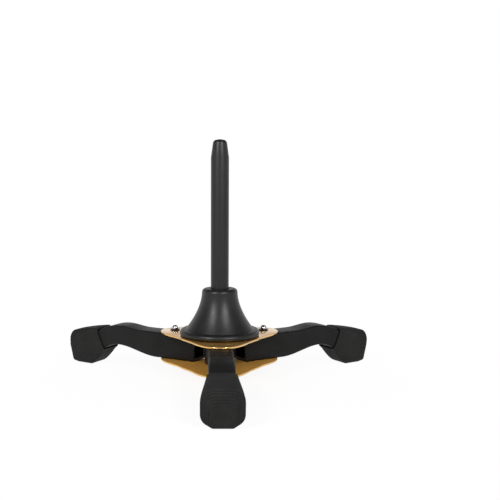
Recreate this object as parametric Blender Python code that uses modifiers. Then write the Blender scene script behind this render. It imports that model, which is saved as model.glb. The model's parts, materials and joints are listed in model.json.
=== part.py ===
"""Folding trumpet stand: a screw-in peg on a bell-shaped hub, two lobed plates and three booted legs.

Metres, +Z up, standing on z = 0. The fixed front leg points to -Y, and the side legs fold forward beside it.
"""
import math

import bmesh
import bpy

MM = 0.001

# Clearance between pieces that touch
FIT = 0.3 * MM

# Peg
PEG_RADIUS = 8.0 * MM
PEG_EXPOSED = 131.9 * MM
PEG_TAPER = 16.0 * MM
PEG_TIP_RADIUS = 6.3 * MM
PEG_TIP_ROUND = 3.4 * MM
PEG_TIP_CROWN = 0.5 * MM
PEG_END_CHAMFER = 0.8 * MM
SOCKET_DEPTH = 14.0 * MM
SOCKET_CHAMFER = 0.9 * MM
RING_THICKNESS = 1.5 * MM

# Stud of the peg, and the threaded bush that takes it and the centre bolt
STUD_RADIUS = 4.0 * MM
STUD_HELD = 22.0 * MM
STUD_ENGAGED = 12.0 * MM
BUSH_WALL = 2.0 * MM
BOSS_WALL = 3.2 * MM

# Hub
HUB_HEIGHT = 42.3 * MM
HUB_WALL = 3.0 * MM
COLLAR_RADIUS = 15.9 * MM
COLLAR_ROUND = 3.4 * MM
FLARE_RADIUS = 30.3 * MM
FLARE_POWER = 1.78
RIM_RADIUS = 35.7 * MM
RIM_THICKNESS = 5.4 * MM
RIM_ROUND = 3.2 * MM
RIM_FOOT_ROUND = 2.0 * MM
HUB_CAVITY_HEIGHT = 25.0 * MM
HUB_RIB_COUNT = 6
HUB_RIB_THICKNESS = 2.0 * MM

# Plates
PLATE_SIDE_RADIUS = 59.2 * MM
PLATE_FRONT_RADIUS = 55.0 * MM
PLATE_VALLEY_RADIUS = 38.0 * MM
PLATE_LOBE_POWER = 1.55
PLATE_THICKNESS = 1.5 * MM
PLATE_GAP = 24.0 * MM
PLATE_GROUND_CLEARANCE = 12.8 * MM
PLATE_OUTLINE_POINTS = 84

# Centre clamp
CENTRE_BOLT_RADIUS = 4.0 * MM
CENTRE_BOLT_ENGAGED = 10.0 * MM
CENTRE_HEAD_RADIUS = 7.0 * MM
CENTRE_HEAD_HEIGHT = 4.4 * MM
CENTRE_WASHER_RADIUS = 9.0 * MM
CENTRE_WASHER_THICKNESS = 1.2 * MM
CENTRE_SPACER_RADIUS = 13.5 * MM
CENTRE_SPACER_WALL = 2.6 * MM

# Pivots of the side legs
PIVOT_RADIUS = 46.9 * MM
PIVOT_BOLT_RADIUS = 1.5 * MM
PIVOT_HEAD_RADIUS = 3.0 * MM
PIVOT_HEAD_HEIGHT = 2.2 * MM
SLEEVE_WALL = 1.8 * MM
FRICTION_WASHER_WIDTH = 3.0 * MM
FRICTION_WASHER_THICKNESS = 0.6 * MM
NUT_RADIUS = 2.9 * MM
NUT_HEIGHT = 3.4 * MM
NUT_SKIRT = 0.8 * MM
NUT_ROOF = 1.4 * MM
SMALL_WASHER_RADIUS = 4.4 * MM
SMALL_WASHER_THICKNESS = 0.7 * MM

# Legs, with radii measured from the peg's axis and heights from the floor
LEG_WIDTH = 21.2 * MM
LEG_WALL = 2.6 * MM
LEG_EDGE_ROUND = 1.8 * MM
LEG_INNER_RADIUS = 21.5 * MM
LEG_RISE_START = 79.0 * MM
LEG_CREST_RADIUS = 102.0 * MM
LEG_CREST_HEIGHT = 40.3 * MM
LEG_TOP_BEND = 30.0 * MM
LEG_TOP_SLOPE = math.radians(33.0)
LEG_ARCH_START = 62.0 * MM
LEG_ARCH_RADIUS = 104.0 * MM
LEG_ARCH_HEIGHT = 22.0 * MM
LEG_ARCH_BEND = 12.0 * MM
LEG_ARCH_SLOPE = math.radians(26.0)
LEG_CORE_RADIUS = 100.0 * MM
LEG_END_RADIUS = 148.0 * MM
LEG_STATIONS = 14
LEG_CORNER_STEPS = 3

# Screws of the front leg
FRONT_SCREW_RADII = {"inner": 30.0 * MM, "outer": 48.0 * MM}
FRONT_SCREW_RADIUS = 2.0 * MM
FRONT_SCREW_DEPTH = 12.0 * MM
FRONT_SCREW_HEAD_RADIUS = 3.6 * MM
FRONT_SCREW_HEAD_HEIGHT = 2.4 * MM
FRONT_BOSS_WALL = 2.6 * MM

# Boots
BOOT_WALL = 1.4 * MM
BOOT_FLAP = 2.4 * MM
BOOT_GRIP = 20.0 * MM
BOOT_MOUTH_LEAN = 8.0 * MM
BOOT_HEEL_RUN = 16.0 * MM
BOOT_HEEL_POWER = 1.4
BOOT_FLARE = 26.0 * MM
BOOT_TOE_COVER = 6.0 * MM
BOOT_HALF_WIDTH = 17.0 * MM
BOOT_TOP_FALL = 5.0 * MM
BOOT_TOE_LEAN = math.radians(14.0)
BOOT_TOP_ROUND = 11.0 * MM
BOOT_SOLE_ROUND = 10.0 * MM
BOOT_TERRACES = 5
BOOT_TERRACE_DEPTH = 1.3 * MM
BOOT_TERRACE_SLANT = 0.4 * MM
BOOT_TOP_INSET = 2.1 * MM
BOOT_SIDE_INSET = 1.4 * MM
BOOT_SOLE_INSET = 0.15 * MM
BOOT_LEAST_ROUND = 1.2 * MM
BOOT_FLARE_STATIONS = 3
BOOT_CORNER_STEPS = 4

# Directions of the legs, seen from above
LEG_ANGLES = {"front": math.radians(270.0), "left": math.radians(150.0), "right": math.radians(30.0)}

# Facets of the turned pieces
FINE_STEPS = 40
PLAIN_STEPS = 28
SMALL_STEPS = 16
ARC_STEPS = 5

# Levels worked out from the sizes above
BOTTOM_PLATE_TOP = PLATE_GROUND_CLEARANCE + PLATE_THICKNESS
TOP_PLATE_UNDERSIDE = BOTTOM_PLATE_TOP + PLATE_GAP
TOP_PLATE_TOP = TOP_PLATE_UNDERSIDE + PLATE_THICKNESS
HUB_BASE = TOP_PLATE_TOP + FIT
HUB_TOP = TOP_PLATE_TOP + HUB_HEIGHT
SOCKET_FLOOR = HUB_TOP - SOCKET_DEPTH
PEG_BOTTOM = SOCKET_FLOOR + RING_THICKNESS + 2 * FIT
PEG_TOP = HUB_TOP + PEG_EXPOSED
SOCKET_RADIUS = PEG_RADIUS + FIT
BUSH_BORE = max(STUD_RADIUS, CENTRE_BOLT_RADIUS) + FIT
BUSH_RADIUS = BUSH_BORE + BUSH_WALL
BOSS_RADIUS = max(BUSH_RADIUS, SOCKET_RADIUS) + BOSS_WALL
SLEEVE_BORE = PIVOT_BOLT_RADIUS + FIT
SLEEVE_RADIUS = SLEEVE_BORE + SLEEVE_WALL
FRICTION_BORE = SLEEVE_RADIUS + FIT
FRICTION_RADIUS = FRICTION_BORE + FRICTION_WASHER_WIDTH
LEG_ROOT_LOW = BOTTOM_PLATE_TOP + FIT
LEG_ROOT_HIGH = TOP_PLATE_UNDERSIDE - FIT
BOOT_MOUTH_RADIUS = LEG_END_RADIUS - BOOT_GRIP
BOOT_HEEL_RADIUS = BOOT_MOUTH_RADIUS - BOOT_MOUTH_LEAN
BOOT_SOLE_RADIUS = BOOT_HEEL_RADIUS + BOOT_HEEL_RUN
BOOT_TOE_RADIUS = LEG_END_RADIUS + BOOT_TOE_COVER

# Part and cutter collections
for old_object in list(bpy.data.objects):
    bpy.data.objects.remove(old_object, do_unlink=True)

parts = bpy.data.collections.new("trumpet_stand")
cutters = bpy.data.collections.new("trumpet_stand_cutters")
bpy.context.scene.collection.children.link(parts)
bpy.context.scene.collection.children.link(cutters)


def make_material(name, colour, roughness, metallic):
    """A plain Principled material."""
    material = bpy.data.materials.new(name)
    material.use_nodes = True
    shader = material.node_tree.nodes["Principled BSDF"]
    shader.inputs["Base Color"].default_value = (*colour, 1.0)
    shader.inputs["Roughness"].default_value = roughness
    shader.inputs["Metallic"].default_value = metallic
    material.diffuse_color = (*colour, 1.0)
    return material


black_plastic = make_material("black_plastic", (0.022, 0.022, 0.021), 0.42, 0.0)
black_rubber = make_material("black_rubber", (0.018, 0.018, 0.018), 0.7, 0.0)
gold_plate = make_material("gold_plate", (0.86, 0.63, 0.34), 0.18, 1.0)
bright_steel = make_material("bright_steel", (0.75, 0.75, 0.74), 0.15, 1.0)
dark_steel = make_material("dark_steel", (0.06, 0.06, 0.06), 0.35, 1.0)
brass = make_material("brass", (0.72, 0.50, 0.20), 0.3, 1.0)
nylon = make_material("nylon", (0.7, 0.68, 0.62), 0.55, 0.0)


def make_empty(name, location, angle, parent=None):
    """A frame that carries pieces, turned about Z."""
    empty = bpy.data.objects.new(name, None)
    empty.location = location
    empty.rotation_euler = (0.0, 0.0, angle)
    empty.parent = parent
    parts.objects.link(empty)
    return empty


def add_piece(name, mesh, parent, material, location=(0.0, 0.0, 0.0)):
    """A part object on its carrying frame, shaded smooth with sharp creases."""
    piece = bpy.data.objects.new(name, mesh)
    piece.parent = parent
    piece.location = location
    mesh.materials.append(material)
    mesh.shade_smooth()
    mesh.set_sharp_from_angle(angle=math.radians(35.0))
    parts.objects.link(piece)
    return piece


def add_cutter(name, mesh, parent, location=(0.0, 0.0, 0.0)):
    """A hidden shape that only cuts or joins."""
    cutter = bpy.data.objects.new(name, mesh)
    cutter.parent = parent
    cutter.location = location
    cutter.hide_render = True
    cutter.display_type = "WIRE"
    cutters.objects.link(cutter)
    return cutter


def combine(target, tool, operation):
    """An exact Boolean of the tool on the target."""
    modifier = target.modifiers.new(tool.name, "BOOLEAN")
    modifier.operation = operation
    modifier.solver = "EXACT"
    modifier.object = tool


def profile_mesh(name, profile, closed):
    """Edges through (radius, height) points, for turning about Z."""
    mesh = bpy.data.meshes.new(name)
    corners = [(radius, 0.0, height) for radius, height in profile]
    edges = [(index, index + 1) for index in range(len(profile) - 1)]
    if closed:
        edges.append((len(profile) - 1, 0))
    mesh.from_pydata(corners, edges, [])
    return mesh


def turn(piece, steps):
    """Turn a profile into a solid of revolution."""
    screw = piece.modifiers.new("turn", "SCREW")
    screw.axis = "Z"
    screw.steps = steps
    screw.render_steps = steps
    screw.use_merge_vertices = True
    screw.merge_threshold = 0.000001
    screw.use_smooth_shade = True


def add_turned(name, profile, parent, material, steps, location=(0.0, 0.0, 0.0)):
    """A turned piece. The profile runs down its outer side, and closes on itself if it stays off the axis."""
    closed = profile[0][0] > 0.0
    piece = add_piece(name, profile_mesh(name, profile, closed), parent, material, location)
    turn(piece, steps)
    return piece


def ring_profile(bore, radius, low, high):
    """A flat washer or a tube."""
    return [(bore, high), (radius, high), (radius, low), (bore, low)]


def arc(centre_radius, centre_height, radius, start, end, steps=ARC_STEPS):
    """Points of an arc in a profile, from angle start to angle end in degrees."""
    points = []
    for step in range(steps + 1):
        angle = math.radians(start + (end - start) * step / steps)
        points.append((centre_radius + radius * math.cos(angle), centre_height + radius * math.sin(angle)))
    return points


def cylinder_mesh(name, radius, low, high, steps=SMALL_STEPS):
    """A closed upright cylinder."""
    mesh = bpy.data.meshes.new(name)
    shape = bmesh.new()
    bmesh.ops.create_cone(
        shape, cap_ends=True, segments=steps, radius1=radius, radius2=radius, depth=high - low
    )
    bmesh.ops.translate(shape, verts=shape.verts, vec=(0.0, 0.0, (low + high) / 2))
    shape.to_mesh(mesh)
    shape.free()
    return mesh


def loft_mesh(name, sections):
    """A closed skin through loops of equal point counts, with flat ends."""
    mesh = bpy.data.meshes.new(name)
    shape = bmesh.new()
    loops = [[shape.verts.new(point) for point in section] for section in sections]
    for near, far in zip(loops, loops[1:]):
        for index in range(len(near)):
            after = (index + 1) % len(near)
            shape.faces.new((near[index], near[after], far[after], far[index]))
    shape.faces.new(loops[0])
    shape.faces.new(loops[-1])
    bmesh.ops.recalc_face_normals(shape, faces=shape.faces)
    shape.to_mesh(mesh)
    shape.free()
    return mesh


def rounded_section(half_width, low, high, low_round, high_round, steps):
    """Points (y, z) of an upright rectangle with rounded corners."""
    limit = 0.95 * min(half_width, (high - low) / 2)
    low_round = min(low_round, limit)
    high_round = min(high_round, limit)
    corners = (
        (half_width - high_round, high - high_round, high_round, 0.0),
        (-half_width + high_round, high - high_round, high_round, 90.0),
        (-half_width + low_round, low + low_round, low_round, 180.0),
        (half_width - low_round, low + low_round, low_round, 270.0),
    )
    points = []
    for side, height, radius, start in corners:
        points += arc(side, height, radius, start, start + 90.0, steps)
    return points


def smooth_step(value):
    """An S-shaped run from 0 to 1."""
    value = min(max(value, 0.0), 1.0)
    return value * value * (3.0 - 2.0 * value)


def bend_down(run, bend, slope):
    """Drop of a line that curves from level to the slope within the bend, then runs straight."""
    curved = min(max(run, 0.0), bend)
    straight = max(run - bend, 0.0)
    return math.tan(slope) * (curved * curved / (2.0 * bend) + straight)


def leg_top(radius):
    """Height of a leg's top: level between the plates, up to the crest, then down into the boot."""
    rise = smooth_step((radius - LEG_RISE_START) / (LEG_CREST_RADIUS - LEG_RISE_START))
    crest = LEG_ROOT_HIGH + (LEG_CREST_HEIGHT - LEG_ROOT_HIGH) * rise
    return crest - bend_down(radius - LEG_CREST_RADIUS, LEG_TOP_BEND, LEG_TOP_SLOPE)


def leg_underside(radius):
    """Height of a leg's underside: level on the plate, up to the arch, then down into the boot."""
    rise = smooth_step((radius - LEG_ARCH_START) / (LEG_ARCH_RADIUS - LEG_ARCH_START))
    arch = LEG_ROOT_LOW + (LEG_ARCH_HEIGHT - LEG_ROOT_LOW) * rise
    return arch - bend_down(radius - LEG_ARCH_RADIUS, LEG_ARCH_BEND, LEG_ARCH_SLOPE)


def leg_sections(start, end, grow, datum):
    """Loops of a leg's skin moved out by grow, with x counted from the datum radius."""
    level_end = min(LEG_RISE_START, LEG_ARCH_START)
    radii = [start, level_end] if start < level_end else [start]
    first = radii[-1]
    radii += [first + (end - first) * (step + 1) / LEG_STATIONS for step in range(LEG_STATIONS)]
    sections = []
    for radius in radii:
        low = leg_underside(radius) - grow
        high = leg_top(radius) + grow
        rounding = max(LEG_EDGE_ROUND + grow, 0.2 * LEG_EDGE_ROUND)
        loop = rounded_section(LEG_WIDTH / 2 + grow, low, high, rounding, rounding, LEG_CORNER_STEPS)
        sections.append([(radius - datum, side, height) for side, height in loop])
    return sections


def make_leg(name, frame, datum, bosses):
    """A hollow moulded leg, open at its inner end. Each boss is (radius, size, list of its upright holes)."""
    outer = leg_sections(LEG_INNER_RADIUS, LEG_END_RADIUS, 0.0, datum)
    leg = add_piece(name, loft_mesh(name, outer), frame, black_plastic)
    core_start = LEG_INNER_RADIUS - LEG_WALL
    core_sections = leg_sections(core_start, LEG_CORE_RADIUS, -LEG_WALL, datum)
    core = add_cutter(f"{name}_core", loft_mesh(f"{name}_core", core_sections), frame)
    cuts = [core]
    for boss_number, (radius, boss_radius, holes) in enumerate(bosses):
        boss_name = f"{name}_boss_{boss_number}"
        place = (radius - datum, 0.0, 0.0)
        boss_mesh = cylinder_mesh(boss_name, boss_radius, BOTTOM_PLATE_TOP, TOP_PLATE_UNDERSIDE)
        combine(core, add_cutter(boss_name, boss_mesh, frame, place), "DIFFERENCE")
        for hole_number, (hole_radius, low, high) in enumerate(holes):
            hole_name = f"{boss_name}_hole_{hole_number}"
            cuts.append(add_cutter(hole_name, cylinder_mesh(hole_name, hole_radius, low, high), frame, place))
    for cutter in cuts:
        combine(leg, cutter, "DIFFERENCE")
    return leg


def boot_low(radius):
    """Height of a boot's underside: from just under the leg down to the flat sole."""
    heel = leg_underside(BOOT_HEEL_RADIUS) - FIT - BOOT_WALL
    part = (radius - BOOT_HEEL_RADIUS) / (BOOT_SOLE_RADIUS - BOOT_HEEL_RADIUS)
    return heel * (1.0 - min(part, 1.0)) ** BOOT_HEEL_POWER


def boot_high(radius):
    """Height of a boot's top: the leaning mouth, then a flap that falls to the toe."""
    flap = leg_top(BOOT_MOUTH_RADIUS) + FIT + BOOT_FLAP
    if radius < BOOT_MOUTH_RADIUS:
        mouth_low = leg_underside(BOOT_HEEL_RADIUS) - FIT
        return mouth_low + (flap - mouth_low) * (radius - BOOT_HEEL_RADIUS) / BOOT_MOUTH_LEAN
    part = (radius - BOOT_MOUTH_RADIUS) / (BOOT_TOE_RADIUS - BOOT_MOUTH_RADIUS)
    return flap - BOOT_TOP_FALL * part ** 1.5


def boot_half_width(radius):
    """Half width of a boot: snug at its mouth, and widest from the end of its flare to the toe."""
    mouth = LEG_WIDTH / 2 + FIT + BOOT_WALL
    part = (radius - BOOT_MOUTH_RADIUS) / BOOT_FLARE
    return mouth + (BOOT_HALF_WIDTH - mouth) * smooth_step(part)


def boot_round(radius, full):
    """Rounding of a boot's long edges: snug on the leg at its mouth, and full at the end of its flare."""
    mouth = LEG_EDGE_ROUND + FIT + BOOT_WALL
    return mouth + (full - mouth) * smooth_step((radius - BOOT_MOUTH_RADIUS) / BOOT_FLARE)


def boot_section(radius, level, datum):
    """One loop of a boot, drawn in by the terraces passed. Loops near the toe lean back at their foot."""
    body_radius = min(radius, BOOT_TOE_RADIUS)
    low = boot_low(body_radius) + level * BOOT_SOLE_INSET
    high = boot_high(body_radius) - level * BOOT_TOP_INSET
    half_width = boot_half_width(body_radius) - level * BOOT_SIDE_INSET
    low_round = max(boot_round(body_radius, BOOT_SOLE_ROUND) - level * BOOT_SIDE_INSET, BOOT_LEAST_ROUND)
    high_round = max(boot_round(body_radius, BOOT_TOP_ROUND) - level * BOOT_SIDE_INSET, BOOT_LEAST_ROUND)
    loop = rounded_section(half_width, low, high, low_round, high_round, BOOT_CORNER_STEPS)
    part = (radius - BOOT_SOLE_RADIUS) / (BOOT_TOE_RADIUS - BOOT_SOLE_RADIUS)
    lean = math.tan(BOOT_TOE_LEAN) * min(max(part, 0.0), 1.0)
    middle = boot_high(BOOT_TOE_RADIUS) / 2
    return [(radius - datum + lean * (height - middle), side, height) for side, height in loop]


def boot_stations():
    """Radii of a boot's plain loops, from its heel to the end of its flare, with none too close together."""
    wanted = [BOOT_HEEL_RADIUS, (BOOT_HEEL_RADIUS + BOOT_MOUTH_RADIUS) / 2, BOOT_SOLE_RADIUS]
    for step in range(BOOT_FLARE_STATIONS + 1):
        wanted.append(BOOT_MOUTH_RADIUS + BOOT_FLARE * step / BOOT_FLARE_STATIONS)
    stations = []
    for radius in sorted(wanted):
        if radius < BOOT_TOE_RADIUS - BOOT_LEAST_ROUND:
            if not stations or radius - stations[-1] > BOOT_LEAST_ROUND:
                stations.append(radius)
    return stations


def make_boot(name, frame, datum):
    """A rubber boot with a leaning mouth and a terraced toe, cut to take the leg's end."""
    sections = [boot_section(radius, 0, datum) for radius in boot_stations()]
    for terrace in range(BOOT_TERRACES):
        edge = BOOT_TOE_RADIUS + terrace * BOOT_TERRACE_DEPTH
        sections.append(boot_section(edge, terrace, datum))
        sections.append(boot_section(edge + BOOT_TERRACE_SLANT, terrace + 1, datum))
    last_edge = BOOT_TOE_RADIUS + BOOT_TERRACES * BOOT_TERRACE_DEPTH
    sections.append(boot_section(last_edge, BOOT_TERRACES, datum))
    boot = add_piece(name, loft_mesh(name, sections), frame, black_rubber)
    socket_sections = leg_sections(LEG_CORE_RADIUS, LEG_END_RADIUS + FIT, FIT, datum)
    socket = add_cutter(f"{name}_socket", loft_mesh(f"{name}_socket", socket_sections), frame)
    combine(boot, socket, "DIFFERENCE")
    return boot


def make_plate(name, frame, low, holes):
    """A flat plate with one round lobe for each leg, drilled by (x, y, radius) holes."""
    points = []
    for index in range(PLATE_OUTLINE_POINTS):
        angle = 2.0 * math.pi * index / PLATE_OUTLINE_POINTS
        turn = angle - LEG_ANGLES["front"]
        tip = PLATE_FRONT_RADIUS if math.cos(turn) > 0.5 else PLATE_SIDE_RADIUS
        lobe = (0.5 + 0.5 * math.cos(3.0 * turn)) ** PLATE_LOBE_POWER
        radius = PLATE_VALLEY_RADIUS + (tip - PLATE_VALLEY_RADIUS) * lobe
        points.append((radius * math.cos(angle), radius * math.sin(angle)))
    sections = [[(x, y, height) for x, y in points] for height in (low, low + PLATE_THICKNESS)]
    plate = add_piece(name, loft_mesh(name, sections), frame, gold_plate)
    for number, (x, y, radius) in enumerate(holes):
        drill_name = f"{name}_hole_{number}"
        drill_mesh = cylinder_mesh(drill_name, radius, low - FIT, low + PLATE_THICKNESS + FIT)
        combine(plate, add_cutter(drill_name, drill_mesh, frame, (x, y, 0.0)), "DIFFERENCE")
    return plate


def make_peg(frame):
    """The peg: a plain rod with a tapered, crowned tip and a blind hole for its stud."""
    shoulder = PEG_TOP - PEG_TIP_CROWN
    profile = [(0.0, PEG_TOP)]
    profile += arc(PEG_TIP_RADIUS - PEG_TIP_ROUND, shoulder - PEG_TIP_ROUND, PEG_TIP_ROUND, 85.0, 8.0)
    profile.append((PEG_RADIUS, PEG_TOP - PEG_TAPER))
    profile.append((PEG_RADIUS, PEG_BOTTOM + PEG_END_CHAMFER))
    profile.append((PEG_RADIUS - PEG_END_CHAMFER, PEG_BOTTOM))
    profile.append((STUD_RADIUS + FIT, PEG_BOTTOM))
    profile.append((STUD_RADIUS + FIT, PEG_BOTTOM + STUD_HELD + FIT))
    profile.append((0.0, PEG_BOTTOM + STUD_HELD + FIT))
    return add_turned("peg", profile, frame, black_plastic, FINE_STEPS)


def rod_profile(radius, low, high, chamfer):
    """A plain rod with chamfered ends."""
    return [
        (0.0, high),
        (radius - chamfer, high),
        (radius, high - chamfer),
        (radius, low + chamfer),
        (radius - chamfer, low),
        (0.0, low),
    ]


def bolt_profile(radius, tip, seat, head_radius, head_height):
    """A bolt that points up, with a low domed head under its seat."""
    chamfer = radius / 4
    dome = [(head_radius * math.cos(angle), seat - head_height * (0.4 + 0.6 * math.sin(angle)))
            for angle in (0.0, math.radians(35.0), math.radians(65.0))]
    profile = [(0.0, tip), (radius - chamfer, tip), (radius, tip - chamfer), (radius, seat)]
    profile += [(head_radius, seat), *dome, (0.0, seat - head_height)]
    return profile


def flare_radius(height):
    """Outer radius of the hub's flare at a height above its base."""
    top = HUB_HEIGHT - FIT - COLLAR_ROUND
    low = RIM_THICKNESS
    part = (top - height) / (top - low)
    return COLLAR_RADIUS + (FLARE_RADIUS - COLLAR_RADIUS) * part ** FLARE_POWER


def make_hub(frame):
    """The hub: a turned bell with a rounded collar and rim, a hollow skirt and a central boss."""
    top = HUB_HEIGHT - FIT
    socket_floor = SOCKET_FLOOR - HUB_BASE
    flare_top = top - COLLAR_ROUND
    flare_steps = 9
    cavity_steps = 4
    outer = [(SOCKET_RADIUS, top - SOCKET_CHAMFER), (SOCKET_RADIUS + SOCKET_CHAMFER, top)]
    outer += arc(COLLAR_RADIUS - COLLAR_ROUND, flare_top, COLLAR_ROUND, 90.0, 0.0)
    for step in range(1, flare_steps + 1):
        height = flare_top + (RIM_THICKNESS - flare_top) * step / flare_steps
        outer.append((flare_radius(height), height))
    outer += arc(RIM_RADIUS - RIM_ROUND, RIM_THICKNESS - RIM_ROUND, RIM_ROUND, 80.0, 0.0)
    outer += arc(RIM_RADIUS - RIM_FOOT_ROUND, RIM_FOOT_ROUND, RIM_FOOT_ROUND, -30.0, -90.0, 2)
    inner = [(RIM_RADIUS - RIM_ROUND - HUB_WALL, 0.0)]
    for step in range(cavity_steps + 1):
        height = RIM_THICKNESS + (HUB_CAVITY_HEIGHT - RIM_THICKNESS) * step / cavity_steps
        inner.append((flare_radius(height) - HUB_WALL, height))
    inner += [(BOSS_RADIUS, HUB_CAVITY_HEIGHT), (BOSS_RADIUS, 0.0), (BUSH_RADIUS + FIT, 0.0)]
    inner += [(BUSH_RADIUS + FIT, socket_floor), (SOCKET_RADIUS, socket_floor)]
    hub = add_turned("hub", outer + inner, frame, black_plastic, FINE_STEPS, (0.0, 0.0, HUB_BASE))
    add_hub_ribs(hub, frame)
    return hub


def add_hub_ribs(hub, frame):
    """Thin upright ribs that tie the hub's boss to its skirt."""
    start = BOSS_RADIUS - BOSS_WALL / 2
    half = HUB_RIB_THICKNESS / 2
    sections = []
    for height in (FIT, RIM_THICKNESS, HUB_CAVITY_HEIGHT / 2, HUB_CAVITY_HEIGHT + HUB_WALL / 2):
        end = flare_radius(max(height, RIM_THICKNESS)) - HUB_WALL / 2
        corners = ((start, -half), (end, -half), (end, half), (start, half))
        sections.append([(x, y, height) for x, y in corners])
    for number in range(HUB_RIB_COUNT):
        angle = 2.0 * math.pi * number / HUB_RIB_COUNT
        rib_frame = make_empty(f"hub_rib_frame_{number}", (0.0, 0.0, HUB_BASE), angle, frame)
        rib = add_cutter(f"hub_rib_{number}", loft_mesh(f"hub_rib_{number}", sections), rib_frame)
        combine(hub, rib, "UNION")


def make_nut(name, frame, low, location):
    """A domed nut with a plain skirt and a blind bore."""
    dome = NUT_HEIGHT - NUT_SKIRT
    bore = PIVOT_BOLT_RADIUS + FIT
    profile = [(0.0, low + NUT_HEIGHT)]
    for angle in (70.0, 50.0, 30.0, 12.0):
        turn_angle = math.radians(angle)
        profile.append((NUT_RADIUS * math.cos(turn_angle), low + NUT_SKIRT + dome * math.sin(turn_angle)))
    profile += [(NUT_RADIUS, low + NUT_SKIRT), (NUT_RADIUS, low), (bore, low)]
    profile += [(bore, low + NUT_HEIGHT - NUT_ROOF), (0.0, low + NUT_HEIGHT - NUT_ROOF)]
    return add_turned(name, profile, frame, bright_steel, SMALL_STEPS, location)


def make_pivot(side, frame, location):
    """The bolt, sleeve, nut and washers that carry one side leg."""
    bore = PIVOT_BOLT_RADIUS + FIT
    lower_top = LEG_ROOT_LOW + FRICTION_WASHER_THICKNESS
    upper_low = LEG_ROOT_HIGH - FRICTION_WASHER_THICKNESS
    nut_washer_low = TOP_PLATE_TOP + FIT
    nut_low = nut_washer_low + SMALL_WASHER_THICKNESS + FIT
    bolt_washer_high = PLATE_GROUND_CLEARANCE - FIT
    bolt_seat = bolt_washer_high - SMALL_WASHER_THICKNESS - FIT
    bolt_tip = nut_low + NUT_HEIGHT - NUT_ROOF - FIT
    sleeve = ring_profile(bore, SLEEVE_RADIUS, LEG_ROOT_LOW, LEG_ROOT_HIGH)
    lower = ring_profile(FRICTION_BORE, FRICTION_RADIUS, LEG_ROOT_LOW, lower_top)
    upper = ring_profile(FRICTION_BORE, FRICTION_RADIUS, upper_low, LEG_ROOT_HIGH)
    nut_washer = ring_profile(
        bore, SMALL_WASHER_RADIUS, nut_washer_low, nut_washer_low + SMALL_WASHER_THICKNESS
    )
    bolt_washer = ring_profile(
        bore, SMALL_WASHER_RADIUS, bolt_washer_high - SMALL_WASHER_THICKNESS, bolt_washer_high
    )
    bolt = bolt_profile(PIVOT_BOLT_RADIUS, bolt_tip, bolt_seat, PIVOT_HEAD_RADIUS, PIVOT_HEAD_HEIGHT)
    add_turned(f"{side}_pivot_sleeve", sleeve, frame, brass, SMALL_STEPS, location)
    add_turned(f"{side}_lower_friction_washer", lower, frame, nylon, SMALL_STEPS, location)
    add_turned(f"{side}_upper_friction_washer", upper, frame, nylon, SMALL_STEPS, location)
    add_turned(f"{side}_nut_washer", nut_washer, frame, dark_steel, SMALL_STEPS, location)
    add_turned(f"{side}_bolt_washer", bolt_washer, frame, dark_steel, SMALL_STEPS, location)
    add_turned(f"{side}_pivot_bolt", bolt, frame, bright_steel, SMALL_STEPS, location)
    make_nut(f"{side}_dome_nut", frame, nut_low, location)


def make_centre(frame):
    """The bush, spacer, bolt and washer that clamp the plates and the hub together."""
    bush = ring_profile(BUSH_BORE, BUSH_RADIUS, HUB_BASE, SOCKET_FLOOR)
    spacer_bore = CENTRE_BOLT_RADIUS + FIT
    boss = spacer_bore + CENTRE_SPACER_WALL
    skirt = CENTRE_SPACER_RADIUS - CENTRE_SPACER_WALL
    roof = LEG_ROOT_HIGH - CENTRE_SPACER_WALL
    spacer = [(spacer_bore, LEG_ROOT_HIGH), (CENTRE_SPACER_RADIUS, LEG_ROOT_HIGH)]
    spacer += [(CENTRE_SPACER_RADIUS, LEG_ROOT_LOW), (skirt, LEG_ROOT_LOW), (skirt, roof)]
    spacer += [(boss, roof), (boss, LEG_ROOT_LOW), (spacer_bore, LEG_ROOT_LOW)]
    washer_high = PLATE_GROUND_CLEARANCE - FIT
    washer_low = washer_high - CENTRE_WASHER_THICKNESS
    washer = ring_profile(spacer_bore, CENTRE_WASHER_RADIUS, washer_low, washer_high)
    bolt_tip = HUB_BASE + CENTRE_BOLT_ENGAGED
    seat = washer_low - FIT
    bolt = bolt_profile(CENTRE_BOLT_RADIUS, bolt_tip, seat, CENTRE_HEAD_RADIUS, CENTRE_HEAD_HEIGHT)
    add_turned("hub_bush", bush, frame, brass, PLAIN_STEPS)
    add_turned("centre_spacer", spacer, frame, black_plastic, PLAIN_STEPS)
    add_turned("centre_washer", washer, frame, dark_steel, PLAIN_STEPS)
    add_turned("centre_bolt", bolt, frame, bright_steel, PLAIN_STEPS)


def make_peg_fittings(frame):
    """The stud of the peg, and the ring under the peg's shoulder."""
    stud_low = SOCKET_FLOOR - STUD_ENGAGED
    stud = rod_profile(STUD_RADIUS, stud_low, PEG_BOTTOM + STUD_HELD, STUD_RADIUS / 4)
    ring_low = SOCKET_FLOOR + FIT
    ring = ring_profile(STUD_RADIUS + FIT, SOCKET_RADIUS - FIT, ring_low, ring_low + RING_THICKNESS)
    add_turned("peg_stud", stud, frame, bright_steel, PLAIN_STEPS)
    add_turned("peg_ring", ring, frame, black_rubber, PLAIN_STEPS)


def make_front_screws(frame):
    """The screws that hold the front leg from below."""
    seat = PLATE_GROUND_CLEARANCE - FIT
    tip = BOTTOM_PLATE_TOP + FRONT_SCREW_DEPTH
    for place, radius in FRONT_SCREW_RADII.items():
        profile = bolt_profile(
            FRONT_SCREW_RADIUS, tip, seat, FRONT_SCREW_HEAD_RADIUS, FRONT_SCREW_HEAD_HEIGHT
        )
        location = (radius, 0.0, 0.0)
        add_turned(f"front_leg_screw_{place}", profile, frame, bright_steel, SMALL_STEPS, location)


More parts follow.
